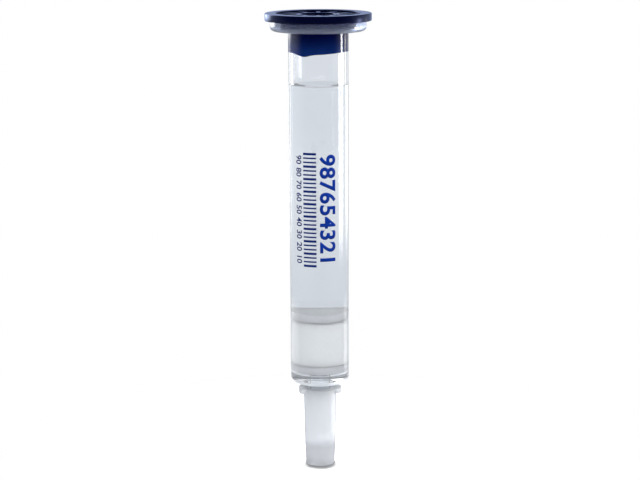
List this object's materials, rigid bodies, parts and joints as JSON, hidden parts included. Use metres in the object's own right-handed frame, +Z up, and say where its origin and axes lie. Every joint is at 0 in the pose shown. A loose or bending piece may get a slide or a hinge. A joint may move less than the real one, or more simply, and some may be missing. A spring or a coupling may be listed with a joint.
{
  "type": "immunoaffinity column",
  "caption": "Clear syringe-barrel column with a bed of affinity gel between porous discs under storage buffer, closed by a navy stopper and a luer tip cap.",
  "frame": {"origin": "centre of the tip cap's flat end, which is the lowest point of the column", "axes": "+Z up along the barrel's axis, from the tip cap to the stopper; the tip cap's two lugs lie near the X axis"},
  "size_m": [0.019, 0.019, 0.0831],
  "materials": {
    "navy_polyethylene": "satin",
    "clear_polypropylene": "gloss",
    "porous_polyethylene": "matte",
    "affinity_gel": "satin",
    "buffer_liquid": "gloss",
    "translucent_polyethylene": "satin"
  },
  "bodies": {
    "root": {"top_cap": "navy_polyethylene", "barrel": "clear_polypropylene", "upper_frit": "porous_polyethylene", "gel_bed": "affinity_gel", "lower_frit": "porous_polyethylene", "storage_buffer": "buffer_liquid", "outlet_buffer": "buffer_liquid", "tip_cap": "translucent_polyethylene"}
  },
  "joints": []
}
